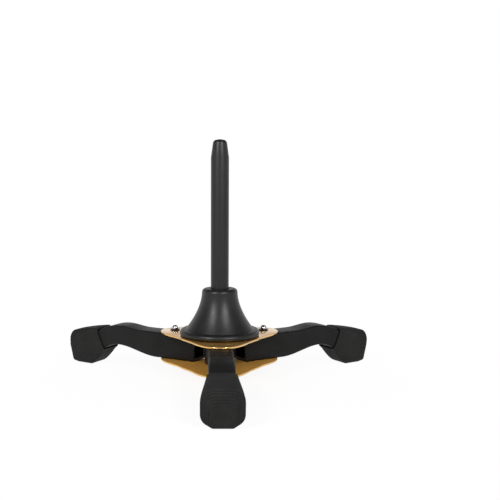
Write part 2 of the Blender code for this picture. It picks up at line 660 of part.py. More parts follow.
def pivot_place(side):
    """Place of a side leg's pivot, seen from above."""
    angle = LEG_ANGLES[side]
    return PIVOT_RADIUS * math.cos(angle), PIVOT_RADIUS * math.sin(angle)


def centre_on_origin(frame):
    """Move the whole stand so that the origin lies below the middle of its box."""
    bpy.context.view_layer.update()
    graph = bpy.context.evaluated_depsgraph_get()
    depths = []
    for piece in parts.objects:
        if piece.type == "MESH":
            shown = piece.evaluated_get(graph)
            depths += [(shown.matrix_world @ vertex.co).y for vertex in shown.data.vertices]
    frame.location.y -= (min(depths) + max(depths)) / 2


def build():
    """Build the stand."""
    stand = make_empty("stand", (0.0, 0.0, 0.0), 0.0)
    front = make_empty("front_leg_frame", (0.0, 0.0, 0.0), LEG_ANGLES["front"], stand)
    pivot_holes = [(*pivot_place(side), PIVOT_BOLT_RADIUS + FIT) for side in ("left", "right")]
    centre_hole = (0.0, 0.0, CENTRE_BOLT_RADIUS + FIT)
    screw_holes = [(0.0, -radius, FRONT_SCREW_RADIUS + FIT) for radius in FRONT_SCREW_RADII.values()]
    make_plate("top_plate", stand, TOP_PLATE_UNDERSIDE, [centre_hole, *pivot_holes])
    make_plate("bottom_plate", stand, PLATE_GROUND_CLEARANCE, [centre_hole, *pivot_holes, *screw_holes])
    make_hub(stand)
    make_centre(stand)
    make_peg(stand)
    make_peg_fittings(stand)
    screw_bore = FRONT_SCREW_RADIUS + FIT
    screw_hole = (screw_bore, BOTTOM_PLATE_TOP, BOTTOM_PLATE_TOP + FRONT_SCREW_DEPTH + FIT)
    screw_bosses = [
        (radius, screw_bore + FRONT_BOSS_WALL, [screw_hole]) for radius in FRONT_SCREW_RADII.values()
    ]
    make_leg("front_leg", front, 0.0, screw_bosses)
    make_boot("front_foot", front, 0.0)
    make_front_screws(front)
    recess = FRICTION_RADIUS + FIT
    recess_depth = FRICTION_WASHER_THICKNESS + FIT
    pivot_cuts = [
        (FRICTION_BORE, BOTTOM_PLATE_TOP, TOP_PLATE_UNDERSIDE),
        (recess, BOTTOM_PLATE_TOP, LEG_ROOT_LOW + recess_depth),
        (recess, LEG_ROOT_HIGH - recess_depth, TOP_PLATE_UNDERSIDE),
    ]
    for side in ("left", "right"):
        x, y = pivot_place(side)
        pivot = make_empty(f"{side}_pivot", (x, y, 0.0), LEG_ANGLES[side], stand)
        make_leg(f"{side}_leg", pivot, PIVOT_RADIUS, [(PIVOT_RADIUS, FRICTION_BORE + LEG_WALL, pivot_cuts)])
        make_boot(f"{side}_foot", pivot, PIVOT_RADIUS)
        make_pivot(side, stand, (x, y, 0.0))
    centre_on_origin(stand)


build()
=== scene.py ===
"""Looks of the folding trumpet stand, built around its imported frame.

Metres, +Z up. Finer meshes stand for the shapes in view, and every other node gets its finish here.
"""
import json
import math

import bmesh
import bpy
from mathutils import Matrix, Vector


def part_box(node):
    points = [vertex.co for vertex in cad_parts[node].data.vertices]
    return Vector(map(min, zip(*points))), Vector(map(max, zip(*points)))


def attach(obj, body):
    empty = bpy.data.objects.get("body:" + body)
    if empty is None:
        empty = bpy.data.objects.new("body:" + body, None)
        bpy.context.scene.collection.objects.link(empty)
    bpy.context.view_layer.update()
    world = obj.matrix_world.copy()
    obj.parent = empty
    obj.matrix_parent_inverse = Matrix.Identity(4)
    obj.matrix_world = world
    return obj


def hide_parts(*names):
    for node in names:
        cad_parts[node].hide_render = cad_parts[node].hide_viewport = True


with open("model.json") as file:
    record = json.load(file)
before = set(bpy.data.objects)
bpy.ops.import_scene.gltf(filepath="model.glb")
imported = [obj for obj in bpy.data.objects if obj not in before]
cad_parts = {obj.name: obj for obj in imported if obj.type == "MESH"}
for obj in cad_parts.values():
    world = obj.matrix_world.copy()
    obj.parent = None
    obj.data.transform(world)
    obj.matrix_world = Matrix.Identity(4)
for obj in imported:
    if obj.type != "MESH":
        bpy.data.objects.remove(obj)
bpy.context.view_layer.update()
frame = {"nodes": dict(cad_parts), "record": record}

MM = 0.001
SIDES = ("left", "right")

# Places and sizes read from the frame
hub_low, hub_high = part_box("hub")
peg_low, peg_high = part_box("peg")
top_low, top_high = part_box("top_plate")
bottom_low, bottom_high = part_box("bottom_plate")
AXIS = Vector(((hub_low.x + hub_high.x) / 2, (hub_low.y + hub_high.y) / 2, 0.0))
HUB_BASE = hub_low.z
HUB_HEIGHT = hub_high.z - hub_low.z
PEG_RADIUS = (peg_high.x - peg_low.x) / 2
PLATE_GAP_LOW = bottom_high.z
PLATE_GAP_HIGH = top_low.z

# Legs by name: their directions from the peg's axis, and their bodies
LEG_ANGLES = {
    "front": math.radians(270.0),
    "left": math.radians(150.0),
    "right": math.radians(30.0),
}
LEG_BODIES = {"front": "base", "left": "left_leg", "right": "right_leg"}

# Clearance between pieces that touch
FIT = 0.3 * MM

# Peg and its stud
PEG_TAPER = 16.0 * MM
PEG_TIP_RADIUS = 6.3 * MM
PEG_TIP_ROUND = 3.4 * MM
PEG_TIP_CROWN = 0.5 * MM
PEG_END_CHAMFER = 0.8 * MM
STUD_PITCH = 1.25 * MM
STUD_THREAD_DEPTH = 0.7 * MM
STUD_STEPS = 32
STUD_RINGS_PER_PITCH = 6

# Hub
SOCKET_DEPTH = 14.0 * MM
SOCKET_CHAMFER = 0.9 * MM
COLLAR_RADIUS = 15.9 * MM
COLLAR_ROUND = 3.4 * MM
FLARE_RADIUS = 30.3 * MM
FLARE_POWER = 1.78
RIM_RADIUS = 35.7 * MM
RIM_THICKNESS = 5.4 * MM
RIM_ROUND = 3.2 * MM
RIM_FOOT_ROUND = 2.0 * MM
HUB_WALL = 3.0 * MM
HUB_CAVITY_HEIGHT = 25.0 * MM
BUSH_HOLE_RADIUS = 6.6 * MM
BOSS_RADIUS = 11.5 * MM
HUB_RIB_COUNT = 6
HUB_RIB_THICKNESS = 2.0 * MM

# Plates
PLATE_SIDE_RADIUS = 59.2 * MM
PLATE_FRONT_RADIUS = 55.0 * MM
PLATE_VALLEY_RADIUS = 38.0 * MM
PLATE_LOBE_POWER = 1.55
PLATE_EDGE_ROUND = 0.45 * MM
PLATE_EDGE_STEPS = 3
PLATE_OUTLINE_POINTS = 360

# Legs, with radii measured from the peg's axis and heights from the floor
LEG_WIDTH = 21.2 * MM
LEG_WALL = 2.6 * MM
LEG_EDGE_ROUND = 1.8 * MM
LEG_LEAST_ROUND = 0.2 * LEG_EDGE_ROUND
LEG_INNER_RADIUS = 21.5 * MM
LEG_RISE_START = 79.0 * MM
LEG_CREST_RADIUS = 102.0 * MM
LEG_CREST_HEIGHT = 40.3 * MM
LEG_TOP_BEND = 30.0 * MM
LEG_TOP_SLOPE = math.radians(33.0)
LEG_ARCH_START = 62.0 * MM
LEG_ARCH_RADIUS = 104.0 * MM
LEG_ARCH_HEIGHT = 22.0 * MM
LEG_ARCH_BEND = 12.0 * MM
LEG_ARCH_SLOPE = math.radians(26.0)
LEG_CORE_RADIUS = 100.0 * MM
LEG_END_RADIUS = 148.0 * MM
LEG_STATIONS = 44
LEG_CORNER_STEPS = 6
LEG_ROOT_LOW = PLATE_GAP_LOW + FIT
LEG_ROOT_HIGH = PLATE_GAP_HIGH - FIT
PIVOT_RADIUS = 46.9 * MM
PIVOT_HOLE_RADIUS = 3.9 * MM
PIVOT_BOSS_RADIUS = 6.5 * MM
PIVOT_RECESS_RADIUS = 7.2 * MM
PIVOT_RECESS_DEPTH = 0.9 * MM
FRONT_SCREW_RADII = (30.0 * MM, 48.0 * MM)
FRONT_SCREW_HOLE_RADIUS = 2.3 * MM
FRONT_SCREW_HOLE_DEPTH = 12.3 * MM
FRONT_BOSS_RADIUS = 4.9 * MM

# Boots
BOOT_WALL = 1.4 * MM
BOOT_FLAP = 2.4 * MM
BOOT_GRIP = 20.0 * MM
BOOT_HEEL_RUN = 16.0 * MM
BOOT_TOE_COVER = 6.0 * MM
BOOT_MOUTH_GAP = 1.1 * MM
BOOT_MOUTH_GAP_DEPTH = 3.0 * MM
BOOT_MOUTH_RADIUS = LEG_END_RADIUS - BOOT_GRIP
BOOT_MOUTH_LEAN = 8.0 * MM
BOOT_HEEL_RADIUS = BOOT_MOUTH_RADIUS - BOOT_MOUTH_LEAN
BOOT_SOLE_RADIUS = BOOT_HEEL_RADIUS + BOOT_HEEL_RUN
BOOT_HEEL_POWER = 1.4
BOOT_FLARE = 26.0 * MM
BOOT_TOE_RADIUS = LEG_END_RADIUS + BOOT_TOE_COVER
BOOT_HALF_WIDTH = 17.0 * MM
BOOT_TOP_FALL = 5.0 * MM
BOOT_TOP_POWER = 1.5
BOOT_TOE_LEAN = math.radians(14.0)
BOOT_TOP_ROUND = 11.0 * MM
BOOT_SOLE_ROUND = 10.0 * MM
BOOT_LEAST_ROUND = 1.2 * MM
BOOT_TERRACES = 5
BOOT_TERRACE_DEPTH = 1.3 * MM
BOOT_TERRACE_SLANT = 0.4 * MM
BOOT_TERRACE_NOSE = 0.2 * MM
BOOT_TOP_INSET = 2.1 * MM
BOOT_SIDE_INSET = 1.4 * MM
BOOT_SOLE_INSET = 0.15 * MM
BOOT_CORNER_STEPS = 9
BOOT_STATION_SPACING = 2.0 * MM

# Core between the plates
CORE_WALL = 2.6 * MM
CORE_EDGE = 0.4 * MM

# Fasteners
CENTRE_HOLE_RADIUS = 4.3 * MM
PIVOT_PIN_HOLE_RADIUS = 1.8 * MM
PIVOT_BOLT_RADIUS = 1.5 * MM
PIVOT_HEAD_HEIGHT = 2.2 * MM
CENTRE_BOLT_RADIUS = 4.0 * MM
CENTRE_HEAD_HEIGHT = 4.4 * MM
FRONT_SCREW_RADIUS = 2.0 * MM
FRONT_SCREW_HEAD_HEIGHT = 2.4 * MM
NUT_SKIRT = 0.8 * MM
NUT_ROOF = 1.4 * MM
NUT_EDGE = 0.25 * MM
NUT_BORE = 1.8 * MM
WASHER_EDGE = 0.15 * MM
PIVOT_KEY_RADIUS = 1.2 * MM
PIVOT_KEY_DEPTH = 1.3 * MM
CENTRE_KEY_RADIUS = 2.9 * MM
CENTRE_KEY_DEPTH = 2.8 * MM
HEAD_SIDE_SHARE = 0.4
HEAD_DOME_TURN = 75.0
CROSS_LENGTH = 4.2 * MM
CROSS_WIDTH = 0.9 * MM
CROSS_DEPTH = 1.4 * MM
CROSS_TAPER = 0.5

# Facets of the turned pieces
TURN_STEPS = 96
SMALL_STEPS = 48
ARC_STEPS = 8
HUB_FLARE_STEPS = 28
HUB_CAVITY_STEPS = 10

# Most of a section's half size that its corners may take
CORNER_LIMIT = 0.95

# Camera, as the photograph was taken: distances from the peg's axis
CAMERA_DISTANCE = 827.0 * MM
CAMERA_SIDE = -13.2 * MM
CAMERA_HEIGHT = 203.2 * MM
CAMERA_PITCH = math.radians(6.0)
CAMERA_LENS = 67.46
CAMERA_SHIFT = 0.0901

# Light: the ceiling's fade is counted by the upward part of a direction
WORLD_FILL = 0.25
CEILING_FADE_START = 0.2
CEILING_FADE_END = 0.6
CEILING_LEVEL = 0.1
SOFTBOX_AZIMUTHS = {"left": -38.0, "right": 30.0}
SOFTBOX_ELEVATION = 36.0
SOFTBOX_DISTANCE = 1.1
SOFTBOX_SIZE = (0.16, 0.4)
SOFTBOX_POWER = 7.5
OVERHEAD_ELEVATION = 88.0
OVERHEAD_DISTANCE = 1.2
OVERHEAD_SIZE = (1.2, 1.2)
OVERHEAD_POWER = 0.3
FLOOR_SIZE = 8.0
FLOOR_LEVEL = -0.1 * MM
FLOOR_COLOUR = (0.86, 0.86, 0.85)
FLOOR_SPECKLE = 1.02
FLOOR_ROUGHNESS = 0.9
FLOOR_SHADOW_SHARE = 0.08
FLOOR_SHADOW_NEAR = 0.06
FLOOR_SHADOW_FAR = 0.24


class Nodes:
    """A material's node tree, with short calls for what the finishes repeat."""

    def __init__(self, name):
        self.material = bpy.data.materials.new(name)
        self.material.use_nodes = True
        self.tree = self.material.node_tree
        self.shader = self.tree.nodes["Principled BSDF"]
        self.place = self.tree.nodes.new("ShaderNodeTexCoord").outputs["Object"]

    def link(self, source, target):
        """Join an output to an input."""
        self.tree.links.new(source, target)

    def noise(self, scale, detail=2.0, stretch=None):
        """A noise pattern over the piece, stretched along an axis if asked."""
        node = self.tree.nodes.new("ShaderNodeTexNoise")
        node.inputs["Scale"].default_value = scale
        node.inputs["Detail"].default_value = detail
        place = self.place
        if stretch:
            mapping = self.tree.nodes.new("ShaderNodeMapping")
            mapping.inputs["Scale"].default_value = stretch
            self.link(place, mapping.inputs["Vector"])
            place = mapping.outputs["Vector"]
        self.link(place, node.inputs["Vector"])
        return node.outputs["Fac"]

    def spread(self, pattern, low, high, start=0.3, end=0.7):
        """Map a pattern's usual range to values from low to high."""
        node = self.tree.nodes.new("ShaderNodeMapRange")
        node.inputs["From Min"].default_value = start
        node.inputs["From Max"].default_value = end
        node.inputs["To Min"].default_value = low
        node.inputs["To Max"].default_value = high
        self.link(pattern, node.inputs["Value"])
        return node.outputs["Result"]

    def colours(self, pattern, dark, light, start=0.35, end=0.65):
        """A run of colour from dark to light over a pattern."""
        node = self.tree.nodes.new("ShaderNodeValToRGB")
        node.color_ramp.elements[0].position = start
        node.color_ramp.elements[0].color = (*dark, 1.0)
        node.color_ramp.elements[1].position = end
        node.color_ramp.elements[1].color = (*light, 1.0)
        self.link(pattern, node.inputs["Fac"])
        return node.outputs["Color"]

    def mix_colours(self, share, first, second):
        """The first colour with a share of the second, which may be a plain colour."""
        node = self.tree.nodes.new("ShaderNodeMix")
        node.data_type = "RGBA"
        self.link(share, node.inputs[0])
        self.link(first, node.inputs[6])
        node.inputs[7].default_value = (*second, 1.0)
        return node.outputs[2]

    def total(self, first, second):
        """The sum of two patterns."""
        node = self.tree.nodes.new("ShaderNodeMath")
        self.link(first, node.inputs[0])
        self.link(second, node.inputs[1])
        return node.outputs["Value"]

    def edges(self, radius, strength):
        """A mask of the piece's edges: how far a rounded normal turns from the true one."""
        bevel = self.tree.nodes.new("ShaderNodeBevel")
        bevel.inputs["Radius"].default_value = radius
        geometry = self.tree.nodes.new("ShaderNodeNewGeometry")
        dot = self.tree.nodes.new("ShaderNodeVectorMath")
        dot.operation = "DOT_PRODUCT"
        self.link(bevel.outputs["Normal"], dot.inputs[0])
        self.link(geometry.outputs["Normal"], dot.inputs[1])
        return self.spread(dot.outputs["Value"], strength, 0.0, 0.75, 0.98)

    def bump(self, pattern, strength, depth):
        """Fine relief from a pattern."""
        node = self.tree.nodes.new("ShaderNodeBump")
        node.inputs["Strength"].default_value = strength
        node.inputs["Distance"].default_value = depth
        self.link(pattern, node.inputs["Height"])
        self.link(node.outputs["Normal"], self.shader.inputs["Normal"])

    def finish(self, colour, roughness, metallic=0.0, specular=0.5):
        """Set the shader from a colour pattern and a roughness pattern."""
        self.link(colour, self.shader.inputs["Base Color"])
        self.link(roughness, self.shader.inputs["Roughness"])
        self.shader.inputs["Metallic"].default_value = metallic
        self.shader.inputs["Specular IOR Level"].default_value = specular
        return self.material


def moulded_plastic(name, dark, light, smooth, rough, specular):
    """Black moulded plastic with a fine grain, and a painted highlight that makes it a little paler
    along its edges.
    """
    nodes = Nodes(name)
    flow = nodes.noise(45.0, 3.0)
    colour = nodes.colours(flow, (dark, dark, 0.97 * dark), (light, light, 0.97 * light))
    # Painted highlight: the edges are mixed towards a paler grey, standing in for the light that
    # rounded edges catch.
    colour = nodes.mix_colours(nodes.edges(0.8 * MM, 0.3), colour, (0.022, 0.022, 0.0215))
    nodes.bump(nodes.noise(2600.0, 2.0), 0.1, 0.03 * MM)
    gloss = nodes.spread(nodes.noise(160.0, 4.0), smooth, rough)
    return nodes.finish(colour, gloss, specular=specular)


def black_rubber():
    """Dull moulded rubber with a coarser grain, a faint bloom, and a painted highlight along its
    edges.
    """
    nodes = Nodes("dull_black_rubber")
    bloom = nodes.noise(60.0, 5.0)
    colour = nodes.colours(bloom, (0.011, 0.011, 0.0107), (0.0155, 0.0155, 0.015))
    # Painted highlight: the edges are mixed towards a paler grey.
    colour = nodes.mix_colours(nodes.edges(0.5 * MM, 0.5), colour, (0.03, 0.03, 0.029))
    nodes.bump(nodes.noise(1500.0, 3.0), 0.2, 0.05 * MM)
    return nodes.finish(colour, nodes.spread(nodes.noise(220.0, 4.0), 0.7, 0.8), specular=0.16)


def gold_plate(name, metallic, coat):
    """Gold under clear lacquer, with faint buffing marks and a painted pale reflection along its
    edges.
    """
    nodes = Nodes(name)
    tone = nodes.noise(28.0, 2.0)
    colour = nodes.colours(tone, (0.80, 0.43, 0.085), (0.84, 0.46, 0.10))
    edge = nodes.edges(1.0 * MM, 2.0)
    # Painted reflection: the edges are mixed towards a pale cream, standing in for the white
    # surroundings that rounded edges reflect.
    colour = nodes.mix_colours(edge, colour, (0.98, 0.84, 0.58))
    gloss = nodes.spread(nodes.noise(75.0, 5.0), 0.2, 0.27)
    dulled = nodes.total(gloss, nodes.spread(edge, 0.0, 0.3, 0.0, 1.0))
    nodes.bump(nodes.noise(900.0, 2.0, stretch=(0.06, 1.0, 1.0)), 0.03, 0.02 * MM)
    nodes.shader.inputs["Coat Weight"].default_value = coat
    nodes.shader.inputs["Coat Roughness"].default_value = 0.18
    return nodes.finish(colour, dulled, metallic=metallic)


def bright_steel():
    """Chromed steel with faint handling marks."""
    nodes = Nodes("bright_chrome_steel")
    tone = nodes.noise(300.0, 2.0)
    colour = nodes.colours(tone, (0.5, 0.5, 0.52), (0.6, 0.6, 0.62))
    nodes.bump(nodes.noise(1800.0, 2.0), 0.03, 0.02 * MM)
    return nodes.finish(colour, nodes.spread(nodes.noise(700.0, 4.0), 0.13, 0.2), metallic=1.0)


def dark_steel():
    """Blackened steel, with a painted highlight that makes it paler at the rim."""
    nodes = Nodes("blackened_steel")
    tone = nodes.noise(400.0, 4.0)
    colour = nodes.colours(tone, (0.018, 0.018, 0.019), (0.04, 0.04, 0.041))
    # Painted highlight: the edges are mixed towards a paler grey.
    colour = nodes.mix_colours(nodes.edges(0.3 * MM, 0.6), colour, (0.16, 0.16, 0.165))
    nodes.bump(nodes.noise(2200.0, 2.0), 0.1, 0.02 * MM)
    return nodes.finish(colour, nodes.spread(nodes.noise(900.0, 3.0), 0.3, 0.45), metallic=1.0)


def machined_brass():
    """Machined brass with fine turning marks."""
    nodes = Nodes("machined_brass")
    tone = nodes.noise(200.0, 3.0)
    colour = nodes.colours(tone, (0.66, 0.44, 0.15), (0.76, 0.54, 0.21))
    nodes.bump(nodes.noise(2500.0, 1.0, stretch=(0.05, 0.05, 1.0)), 0.12, 0.02 * MM)
    return nodes.finish(colour, nodes.spread(nodes.noise(500.0, 3.0), 0.22, 0.34), metallic=1.0)


def natural_nylon():
    """Milky nylon."""
    nodes = Nodes("natural_nylon")
    tone = nodes.noise(250.0, 3.0)
    colour = nodes.colours(tone, (0.62, 0.60, 0.54), (0.72, 0.70, 0.64))
    nodes.bump(nodes.noise(1800.0, 2.0), 0.08, 0.03 * MM)
    return nodes.finish(colour, nodes.spread(nodes.noise(400.0, 3.0), 0.45, 0.6))


FINISHES = {
    "black_plastic": moulded_plastic("satin_black_plastic", 0.006, 0.0085, 0.37, 0.42, 0.33),
    "black_rubber": black_rubber(),
    "gold_plate": gold_plate("lacquered_gold_plate", 0.86, 0.85),
    "bright_steel": bright_steel(),
    "dark_steel": dark_steel(),
    "brass": machined_brass(),
    "nylon": natural_nylon(),
}
# The same gold as the top plate, made less metallic and less lacquered so that it reads brighter in
# the shade under the top plate: painted light in a copy of one material.
LOWER_PLATE_FINISH = gold_plate("shade_lifted_gold_plate", 0.3, 0.4)
LEG_FINISH = moulded_plastic("dull_black_plastic", 0.007, 0.01, 0.4, 0.46, 0.14)


def new_object(name, mesh, place=Matrix.Identity(4)):
    """An object in the scene with this mesh."""
    piece = bpy.data.objects.new(name, mesh)
    bpy.context.scene.collection.objects.link(piece)
    piece.matrix_world = place
    return piece


def dress(piece, body, node, slot, crease=35.0, finish=None):
    """Make a mesh stand for a node: it rides on the body, in the slot's finish or its own."""
    piece.data.materials.clear()
    piece.data.materials.append(finish or FINISHES[slot])
    piece.data.shade_smooth()
    piece.data.set_sharp_from_angle(angle=math.radians(crease))
    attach(piece, body)
    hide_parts(node)
    return piece


def skin(name, loops):
    """A closed skin through loops of equal point counts, with capped ends."""
    mesh = bpy.data.meshes.new(name)
    shape = bmesh.new()
    rings = [[shape.verts.new(point) for point in loop] for loop in loops]
    for near, far in zip(rings, rings[1:]):
        for index in range(len(near)):
            after = (index + 1) % len(near)
            shape.faces.new((near[index], near[after], far[after], far[index]))
    shape.faces.new(rings[0])
    shape.faces.new(rings[-1])
    bmesh.ops.recalc_face_normals(shape, faces=shape.faces)
    shape.to_mesh(mesh)
    shape.free()
    return mesh


def turned(name, profile, steps):
    """A solid of revolution.

    A profile that starts and ends on the axis is closed by its two poles.
    """
    mesh = bpy.data.meshes.new(name)
    shape = bmesh.new()
    turns = [2.0 * math.pi * step / steps for step in range(steps)]
    rings = []
    for radius, height in profile:
        if radius == 0.0:
            rings.append([shape.verts.new((0.0, 0.0, height))] * steps)
        else:
            spots = [(radius * math.cos(turn), radius * math.sin(turn), height) for turn in turns]
            rings.append([shape.verts.new(spot) for spot in spots])
    pairs = list(zip(rings, rings[1:]))
    if profile[0][0] > 0.0:
        pairs.append((rings[-1], rings[0]))
    for near, far in pairs:
        for index in range(steps):
            after = (index + 1) % steps
            corners = dict.fromkeys((near[index], near[after], far[after], far[index]))
            shape.faces.new(tuple(corners))
    bmesh.ops.recalc_face_normals(shape, faces=shape.faces)
    shape.to_mesh(mesh)
    shape.free()
    return mesh


def cut(target, tools, operation="DIFFERENCE"):
    """Cut or join the tools into the target, and remove them."""
    for tool in tools:
        modifier = target.modifiers.new(tool.name, "BOOLEAN")
        modifier.operation = operation
        modifier.solver = "EXACT"
        modifier.object = tool
    bpy.context.view_layer.update()
    graph = bpy.context.evaluated_depsgraph_get()
    result = bpy.data.meshes.new_from_object(target.evaluated_get(graph))
    target.modifiers.clear()
    target.data = result
    for tool in tools:
        bpy.data.objects.remove(tool)


def arc(centre_radius, centre_height, radius, start, end, steps=ARC_STEPS):
    """Points of an arc in a profile, from angle start to angle end in degrees."""
    points = []
    for step in range(steps + 1):
        angle = math.radians(start + (end - start) * step / steps)
        out = radius * math.cos(angle)
        up = radius * math.sin(angle)
        points.append((centre_radius + out, centre_height + up))
    return points


def rounded_section(half_width, low, high, low_round, high_round, steps):
    """Points (y, z) of an upright rectangle with rounded corners."""
    limit = CORNER_LIMIT * min(half_width, (high - low) / 2)
    low_round = min(low_round, limit)
    high_round = min(high_round, limit)
    corners = (
        (half_width - high_round, high - high_round, high_round, 0.0),
        (-half_width + high_round, high - high_round, high_round, 90.0),
        (-half_width + low_round, low + low_round, low_round, 180.0),
        (half_width - low_round, low + low_round, low_round, 270.0),
    )
    points = []
    for side, height, radius, start in corners:
        points += arc(side, height, radius, start, start + 90.0, steps)
    return points


def column(radius, low, high, steps=SMALL_STEPS):
    """An upright closed column, used for cutting."""
    return turned("column", [(0.0, high), (radius, high), (radius, low), (0.0, low)], steps)


def at_leg(side, radius=0.0):
    """A place along a leg's direction, turned with the leg."""
    turn = Matrix.Rotation(LEG_ANGLES[side], 4, "Z")
    return Matrix.Translation(AXIS) @ turn @ Matrix.Translation((radius, 0.0, 0.0))


def smooth_step(value):
    """An S-shaped run from 0 to 1."""
    value = min(max(value, 0.0), 1.0)
    return value * value * (3.0 - 2.0 * value)


def bend_down(run, bend, slope):
    """Drop of a line that curves from level to the slope within the bend, then runs straight."""
    curved = min(max(run, 0.0), bend)
    straight = max(run - bend, 0.0)
    return math.tan(slope) * (curved * curved / (2.0 * bend) + straight)


def leg_top(radius):
    """Height of a leg's top: level between the plates, up to the crest, then down into the boot."""
    rise = smooth_step((radius - LEG_RISE_START) / (LEG_CREST_RADIUS - LEG_RISE_START))
    crest = LEG_ROOT_HIGH + (LEG_CREST_HEIGHT - LEG_ROOT_HIGH) * rise
    return crest - bend_down(radius - LEG_CREST_RADIUS, LEG_TOP_BEND, LEG_TOP_SLOPE)


def leg_underside(radius):
    """Height of a leg's underside: level on the plate, up to the arch, then down into the boot."""
    rise = smooth_step((radius - LEG_ARCH_START) / (LEG_ARCH_RADIUS - LEG_ARCH_START))
    arch = LEG_ROOT_LOW + (LEG_ARCH_HEIGHT - LEG_ROOT_LOW) * rise
    return arch - bend_down(radius - LEG_ARCH_RADIUS, LEG_ARCH_BEND, LEG_ARCH_SLOPE)


def leg_loops(start, end, grow):
    """Loops of a leg's skin moved out by grow."""
    loops = []
    for station in range(LEG_STATIONS + 1):
        radius = start + (end - start) * station / LEG_STATIONS
        low = leg_underside(radius) - grow
        high = leg_top(radius) + grow
        rounding = max(LEG_EDGE_ROUND + grow, LEG_LEAST_ROUND)
        half_width = LEG_WIDTH / 2 + grow
        loop = rounded_section(half_width, low, high, rounding, rounding, LEG_CORNER_STEPS)
        loops.append([(radius, side, height) for side, height in loop])
    return loops


def make_leg(side, bosses):
    """A hollow moulded leg, open at its inner end.

    Each boss is given by its place along the leg, its own radius and a list of its upright holes.
    """
    leg_mesh = skin("leg", leg_loops(LEG_INNER_RADIUS, LEG_END_RADIUS, 0.0))
    leg = new_object(f"{side}_leg_moulding", leg_mesh, at_leg(side))
    core_loops = leg_loops(LEG_INNER_RADIUS - LEG_WALL, LEG_CORE_RADIUS, -LEG_WALL)
    core = new_object("leg_core", skin("leg_core", core_loops), at_leg(side))
    columns = []
    drills = []
    for radius, boss_radius, holes in bosses:
        place = at_leg(side, radius)
        boss = column(boss_radius, PLATE_GAP_LOW, PLATE_GAP_HIGH)
        columns.append(new_object("leg_boss", boss, place))
        for hole_radius, low, high in holes:
            drills.append(new_object("leg_hole", column(hole_radius, low, high), place))
    cut(core, columns)
    cut(leg, [core, *drills])
    return dress(leg, LEG_BODIES[side], f"{side}_leg", "black_plastic", finish=LEG_FINISH)


def boot_low(radius):
    """Height of a boot's underside: from just under the leg down to the flat sole."""
    heel = leg_underside(BOOT_HEEL_RADIUS) - FIT - BOOT_WALL
    part = (radius - BOOT_HEEL_RADIUS) / (BOOT_SOLE_RADIUS - BOOT_HEEL_RADIUS)
    return heel * (1.0 - min(part, 1.0)) ** BOOT_HEEL_POWER


def boot_high(radius):
    """Height of a boot's top: the leaning mouth, then a flap that falls to the toe."""
    flap = leg_top(BOOT_MOUTH_RADIUS) + FIT + BOOT_FLAP
    if radius < BOOT_MOUTH_RADIUS:
        mouth_low = leg_underside(BOOT_HEEL_RADIUS) - FIT
        return mouth_low + (flap - mouth_low) * (radius - BOOT_HEEL_RADIUS) / BOOT_MOUTH_LEAN
    part = (radius - BOOT_MOUTH_RADIUS) / (BOOT_TOE_RADIUS - BOOT_MOUTH_RADIUS)
    return flap - BOOT_TOP_FALL * part ** BOOT_TOP_POWER


def boot_half_width(radius):
    """Half width of a boot: snug at its mouth, and widest from the end of its flare to the toe."""
    mouth = LEG_WIDTH / 2 + FIT + BOOT_WALL
    part = (radius - BOOT_MOUTH_RADIUS) / BOOT_FLARE
    return mouth + (BOOT_HALF_WIDTH - mouth) * smooth_step(part)


def boot_round(radius, full):
    """Rounding of a boot's long edges: snug at its mouth, and full at the end of its flare."""
    mouth = LEG_EDGE_ROUND + FIT + BOOT_WALL
    return mouth + (full - mouth) * smooth_step((radius - BOOT_MOUTH_RADIUS) / BOOT_FLARE)


def boot_loop(radius, level):
    """One loop of a boot, drawn in by the terraces passed so far.

    Loops near the toe lean back at their foot.
    """
    body_radius = min(radius, BOOT_TOE_RADIUS)
    low = boot_low(body_radius) + level * BOOT_SOLE_INSET
    high = boot_high(body_radius) - level * BOOT_TOP_INSET
    inset = level * BOOT_SIDE_INSET
    half_width = boot_half_width(body_radius) - inset
    low_round = max(boot_round(body_radius, BOOT_SOLE_ROUND) - inset, BOOT_LEAST_ROUND)
    high_round = max(boot_round(body_radius, BOOT_TOP_ROUND) - inset, BOOT_LEAST_ROUND)
    loop = rounded_section(half_width, low, high, low_round, high_round, BOOT_CORNER_STEPS)
    part = (radius - BOOT_SOLE_RADIUS) / (BOOT_TOE_RADIUS - BOOT_SOLE_RADIUS)
    lean = math.tan(BOOT_TOE_LEAN) * min(max(part, 0.0), 1.0)
    middle = boot_high(BOOT_TOE_RADIUS) / 2
    return [(radius + lean * (height - middle), side, height) for side, height in loop]


